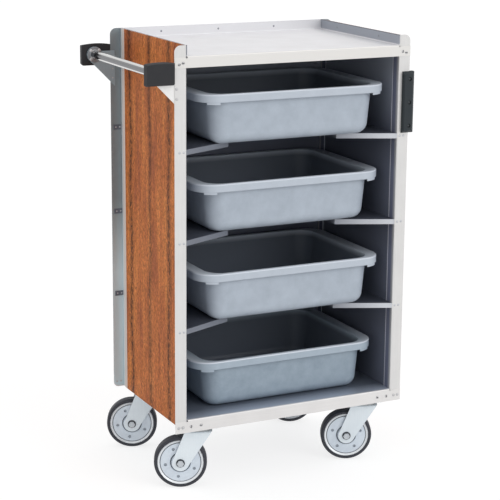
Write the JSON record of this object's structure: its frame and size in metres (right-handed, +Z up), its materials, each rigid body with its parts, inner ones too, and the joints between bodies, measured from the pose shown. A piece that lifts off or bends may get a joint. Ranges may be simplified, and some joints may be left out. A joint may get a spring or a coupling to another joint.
{
  "type": "tray return trolley",
  "caption": "Tray return trolley: wood-look clad steel cabinet with an open front, ledges for lift-out totes, an end push handle, corner bumpers and swivel casters.",
  "frame": {"origin": "On the floor under the middle of the outline.", "axes": "+Z up; the open front faces -Y; the push handle is on the -X end."},
  "size_m": [0.7344, 0.442, 1.1225],
  "materials": {
    "sheet_steel": "satin steel sheet, fine vertical grain, folded edges",
    "panel_steel": "satin steel sheet, darker inside the cabinet",
    "laminate": "wood-look laminate, orange brown with dark upright streaks, satin",
    "tote_plastic": "grey-blue moulded polyethylene, fine grain, light scuffs",
    "bumper_rubber": "dark grey moulded rubber, matt",
    "handle_tube": "polished steel tube",
    "caster_zinc": "bright zinc plate",
    "wheel_disc": "pale grey moulded wheel disc",
    "tyre_rubber": "dark grey non-marking tread",
    "fastener_steel": "bright plated fasteners"
  },
  "bodies": {
    "cabinet": {"base_shelf": "sheet_steel", "base_channel_left": "panel_steel", "base_channel_right": "panel_steel", "top_shelf": "sheet_steel", "post_front_left": "sheet_steel", "post_front_right": "sheet_steel", "post_back_left": "sheet_steel", "post_back_right": "sheet_steel", "end_panel_left": "panel_steel", "end_panel_right": "panel_steel", "back_panel": "panel_steel", "laminate_left": "laminate", "laminate_right": "laminate", "laminate_back": "laminate", "ledge_left_1": "sheet_steel", "ledge_left_2": "sheet_steel", "ledge_left_3": "sheet_steel", "ledge_right_1": "sheet_steel", "ledge_right_2": "sheet_steel", "ledge_right_3": "sheet_steel", "push_handle": "handle_tube", "handle_bracket_front": "sheet_steel", "handle_bracket_back": "sheet_steel", "handle_bumper_front": "bumper_rubber", "handle_bumper_back": "bumper_rubber", "corner_guard_front": "bumper_rubber", "corner_guard_back": "bumper_rubber", "base_bolts": "fastener_steel", "ledge_rivets": "fastener_steel", "fascia_screws": "fastener_steel", "handle_screws": "fastener_steel", "guard_screws": "fastener_steel", "plate_bolts": "fastener_steel", "caster_plate_front_left": "caster_zinc", "caster_plate_front_right": "caster_zinc", "caster_plate_back_left": "caster_zinc", "caster_plate_back_right": "caster_zinc", "kingpins": "fastener_steel", "swivel_balls": "fastener_steel"},
    "swivel_front_left": {"fork_front_left": "caster_zinc", "axle_front_left": "fastener_steel"},
    "roller_front_left": {"wheel_front_left": "wheel_disc", "tyre_front_left": "tyre_rubber"},
    "swivel_front_right": {"fork_front_right": "caster_zinc", "axle_front_right": "fastener_steel"},
    "roller_front_right": {"wheel_front_right": "wheel_disc", "tyre_front_right": "tyre_rubber"},
    "swivel_back_left": {"fork_back_left": "caster_zinc", "axle_back_left": "fastener_steel"},
    "roller_back_left": {"wheel_back_left": "wheel_disc", "tyre_back_left": "tyre_rubber"},
    "swivel_back_right": {"fork_back_right": "caster_zinc", "axle_back_right": "fastener_steel"},
    "roller_back_right": {"wheel_back_right": "wheel_disc", "tyre_back_right": "tyre_rubber"},
    "tote_body_1": {"tote_1": "tote_plastic"},
    "tote_body_2": {"tote_2": "tote_plastic"},
    "tote_body_3": {"tote_3": "tote_plastic"},
    "tote_body_4": {"tote_4": "tote_plastic"}
  },
  "joints": [
    {"name": "turn_front_left", "type": "hinge", "parent": "cabinet", "child": "swivel_front_left", "pos_m": [-0.20685, -0.161, 0.152], "axis": [0, 0, 1], "continuous": true},
    {"name": "roll_front_left", "type": "hinge", "parent": "swivel_front_left", "child": "roller_front_left", "pos_m": [-0.24887, -0.14229, 0.067], "axis": [0.4067, 0.9135, 0], "continuous": true},
    {"name": "turn_front_right", "type": "hinge", "parent": "cabinet", "child": "swivel_front_right", "pos_m": [0.27115, -0.161, 0.152], "axis": [0, 0, 1], "continuous": true},
    {"name": "roll_front_right", "type": "hinge", "parent": "swivel_front_right", "child": "roller_front_right", "pos_m": [0.22913, -0.14229, 0.067], "axis": [0.4067, 0.9135, 0], "continuous": true},
    {"name": "turn_back_left", "type": "hinge", "parent": "cabinet", "child": "swivel_back_left", "pos_m": [-0.20685, 0.161, 0.152], "axis": [0, 0, 1], "continuous": true},
    {"name": "roll_back_left", "type": "hinge", "parent": "swivel_back_left", "child": "roller_back_left", "pos_m": [-0.24887, 0.17971, 0.067], "axis": [0.4067, 0.9135, 0], "continuous": true},
    {"name": "turn_back_right", "type": "hinge", "parent": "cabinet", "child": "swivel_back_right", "pos_m": [0.27115, 0.161, 0.152], "axis": [0, 0, 1], "continuous": true},
    {"name": "roll_back_right", "type": "hinge", "parent": "swivel_back_right", "child": "roller_back_right", "pos_m": [0.22913, 0.17971, 0.067], "axis": [0.4067, 0.9135, 0], "continuous": true},
    {"name": "draw_tote_1", "type": "slide", "parent": "cabinet", "child": "tote_body_1", "axis": [0, -1, 0], "range_m": [0, 0.42]},
    {"name": "draw_tote_2", "type": "slide", "parent": "cabinet", "child": "tote_body_2", "axis": [0, -1, 0], "range_m": [0, 0.42]},
    {"name": "draw_tote_3", "type": "slide", "parent": "cabinet", "child": "tote_body_3", "axis": [0, -1, 0], "range_m": [0, 0.42]},
    {"name": "draw_tote_4", "type": "slide", "parent": "cabinet", "child": "tote_body_4", "axis": [0, -1, 0], "range_m": [0, 0.42]}
  ]
}
